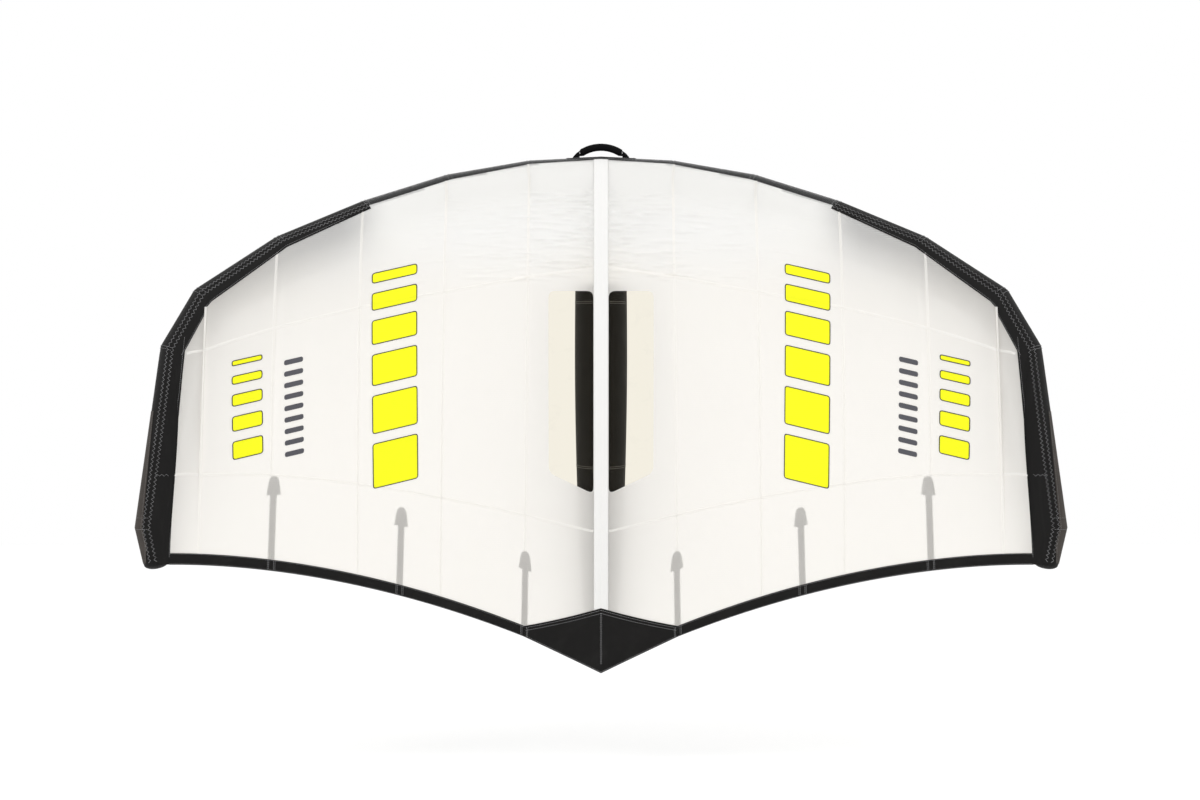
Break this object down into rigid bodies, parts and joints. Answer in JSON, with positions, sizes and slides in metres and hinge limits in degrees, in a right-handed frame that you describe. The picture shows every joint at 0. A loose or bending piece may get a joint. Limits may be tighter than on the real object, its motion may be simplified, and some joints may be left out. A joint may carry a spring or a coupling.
{
  "type": "inflatable foil wing",
  "caption": "Handheld inflatable wing: segmented leading edge tube, strut, paneled canopy with windows, rigid handles and a front handle.",
  "frame": {"origin": "hold point under the crown of the leading edge handle, from which the wing hangs", "axes": "+X along the span, +Z from the tail up to the leading edge, -Y out of the canopy's upper side"},
  "size_m": [2.906, 0.6018, 1.7266],
  "materials": {
    "canopy_cloth": "woven ripstop, matt",
    "seam_cloth": "woven, matt",
    "tube_cloth_grey": "coated cloth, satin",
    "tube_cloth_black": "coated cloth, matt",
    "bladder_film": "thin film",
    "window_film": "clear flexible film",
    "batten_strip": "plain",
    "black_plastic": "moulded",
    "grey_plastic": "moulded",
    "grip_foam": "foam",
    "handle_bar": "fibre composite, satin",
    "ring_steel": "polished",
    "hose_rubber": "smooth"
  },
  "bodies": {
    "wing": {"canopy_front_left": "canopy_cloth", "canopy_front_right": "canopy_cloth", "canopy_middle_left": "canopy_cloth", "canopy_middle_right": "canopy_cloth", "canopy_rear_left": "canopy_cloth", "canopy_rear_right": "canopy_cloth", "batten_pocket_1_left": "canopy_cloth", "batten_pocket_1_right": "canopy_cloth", "batten_pocket_2_left": "canopy_cloth", "batten_pocket_2_right": "canopy_cloth", "batten_pocket_3_left": "canopy_cloth", "batten_pocket_3_right": "canopy_cloth", "centre_seam": "seam_cloth", "leading_edge_casing_middle": "tube_cloth_grey", "strut_handle_patch": "tube_cloth_grey", "leading_edge_casing_left": "tube_cloth_black", "leading_edge_casing_right": "tube_cloth_black", "strut_casing": "tube_cloth_black", "leading_edge_strip_left": "tube_cloth_black", "leading_edge_strip_right": "tube_cloth_black", "tip_panel_left": "tube_cloth_black", "tip_panel_right": "tube_cloth_black", "trailing_edge_band_left": "tube_cloth_black", "trailing_edge_band_right": "tube_cloth_black", "tail_patch": "tube_cloth_black", "edge_handle_patch": "tube_cloth_black", "edge_handle_tab_left": "tube_cloth_black", "edge_handle_tab_right": "tube_cloth_black", "leash_tab": "tube_cloth_black", "leading_edge_bladder": "bladder_film", "strut_bladder": "bladder_film", "window_left": "window_film", "window_right": "window_film", "batten_1_left": "batten_strip", "batten_1_right": "batten_strip", "batten_2_left": "batten_strip", "batten_2_right": "batten_strip", "batten_3_left": "batten_strip", "batten_3_right": "batten_strip", "strut_tail_cap": "black_plastic", "front_handle_fore_base": "black_plastic", "front_handle_aft_base": "black_plastic", "rear_handle_fore_base": "black_plastic", "rear_handle_aft_base": "black_plastic", "hose_clip_body": "black_plastic", "valve_flange": "grey_plastic", "edge_hose_port": "grey_plastic", "strut_hose_port": "grey_plastic", "front_handle_grip": "grip_foam", "rear_handle_grip": "grip_foam", "front_handle_bar": "handle_bar", "rear_handle_bar": "handle_bar", "inflation_hose": "hose_rubber"},
    "edge_handle": {"edge_handle_core": "tube_cloth_black", "edge_handle_sleeve": "grip_foam"},
    "valve_insert": {"valve_insert": "black_plastic"},
    "valve_cap": {"valve_cap": "black_plastic"},
    "hose_clip_lever": {"hose_clip_lever": "grey_plastic"},
    "leash_ring": {"leash_ring": "ring_steel"}
  },
  "joints": [
    {"name": "edge_handle_swing", "type": "hinge", "parent": "wing", "child": "edge_handle", "pos_m": [0, 0, -0.01339], "axis": [1, 0, 0], "range_deg": [-45, 45]},
    {"name": "valve_insert_turn", "type": "hinge", "parent": "wing", "child": "valve_insert", "pos_m": [0.34854, 0.06089, -0.1503], "axis": [0.2055, 0.9781, -0.0344], "range_deg": [0, 90]},
    {"name": "valve_cap_flip", "type": "hinge", "parent": "valve_insert", "child": "valve_cap", "pos_m": [0.35722, 0.0797, -0.12458], "axis": [0.9627, -0.2083, -0.1725], "range_deg": [0, 150]},
    {"name": "hose_clip_lift", "type": "hinge", "parent": "wing", "child": "hose_clip_lever", "pos_m": [0.13484, 0.05202, -0.23572], "axis": [-0.9659, 0.2589, 0], "range_deg": [0, 85]},
    {"name": "leash_ring_swing", "type": "hinge", "parent": "wing", "child": "leash_ring", "pos_m": [-0.14585, 0.07743, -0.06179], "axis": [0.9948, 0.087, 0.0535], "range_deg": [-65, 65]}
  ]
}
